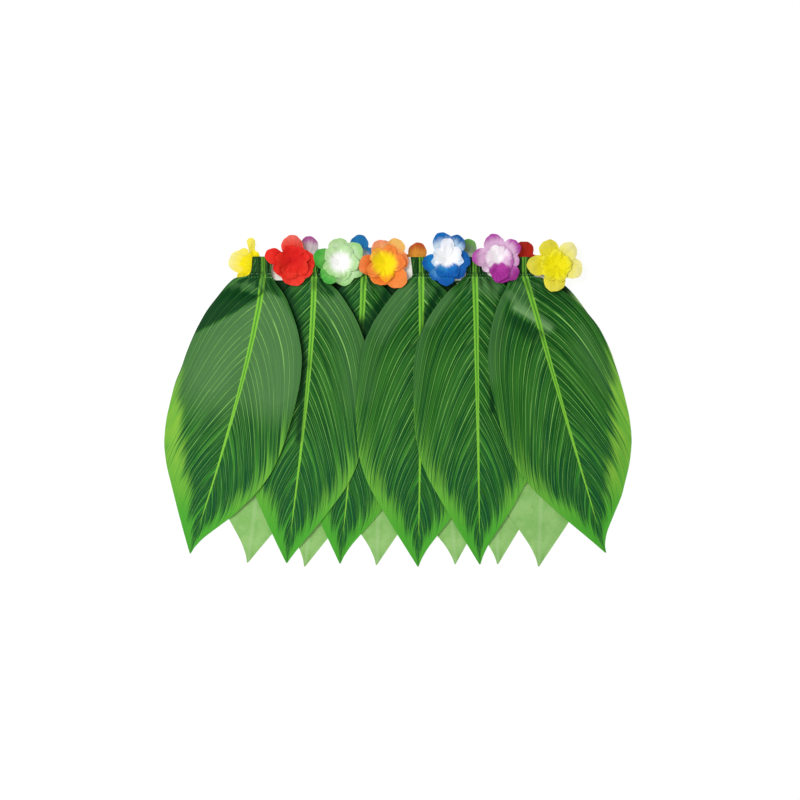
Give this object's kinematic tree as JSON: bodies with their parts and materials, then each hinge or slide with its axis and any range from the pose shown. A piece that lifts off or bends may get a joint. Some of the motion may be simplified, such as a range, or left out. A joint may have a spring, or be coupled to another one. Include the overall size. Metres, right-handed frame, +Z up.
{
  "type": "hula skirt",
  "caption": "Hula skirt laid flat: pointed green cloth leaves gathered onto a white elastic waistband, with cloth flowers in mixed colours sewn between the leaf tops.",
  "frame": {"origin": "on the surface it lies on, under the middle of the whole skirt", "axes": "+X to the wearer's left across the skirt as it is seen, +Y from the leaf tips to the waistband, +Z up off the surface, out of the skirt's front"},
  "size_m": [0.6022, 0.429, 0.0289],
  "materials": {
    "leaf_print": "satin, printed as a leaf on its outside",
    "petal_red": "matte, heat-pressed",
    "petal_green": "matte, heat-pressed",
    "petal_orange": "matte, heat-pressed",
    "petal_blue": "matte, heat-pressed",
    "petal_purple": "matte, heat-pressed",
    "petal_yellow": "matte, heat-pressed",
    "elastic": "matte, ribbed"
  },
  "bodies": {
    "root": {"flower_back_purple_inner": "petal_purple", "flower_back_blue_inner": "petal_blue", "flower_back_orange_inner": "petal_orange", "flower_back_green_inner": "petal_green", "flower_back_red_inner": "petal_red", "flower_back_purple_outer": "petal_purple", "flower_back_blue_outer": "petal_blue", "flower_back_orange_outer": "petal_orange", "flower_back_green_outer": "petal_green", "flower_back_red_outer": "petal_red", "leaf_back_2": "leaf_print", "leaf_back_4": "leaf_print", "leaf_back_6": "leaf_print", "leaf_back_3": "leaf_print", "leaf_back_5": "leaf_print", "leaf_back_1": "leaf_print", "waistband": "elastic", "flower_fold_yellow_outer": "petal_yellow", "flower_fold_yellow_inner": "petal_yellow", "leaf_front_3": "leaf_print", "leaf_front_2": "leaf_print", "leaf_front_1": "leaf_print", "leaf_front_4": "leaf_print", "leaf_front_5": "leaf_print", "leaf_front_6": "leaf_print", "flower_front_red_outer": "petal_red", "flower_front_green_outer": "petal_green", "flower_front_orange_outer": "petal_orange", "flower_front_blue_outer": "petal_blue", "flower_front_purple_outer": "petal_purple", "flower_front_yellow_outer": "petal_yellow", "flower_front_red_inner": "petal_red", "flower_front_green_inner": "petal_green", "flower_front_orange_inner": "petal_orange", "flower_front_blue_inner": "petal_blue", "flower_front_purple_inner": "petal_purple", "flower_front_yellow_inner": "petal_yellow"}
  },
  "joints": []
}
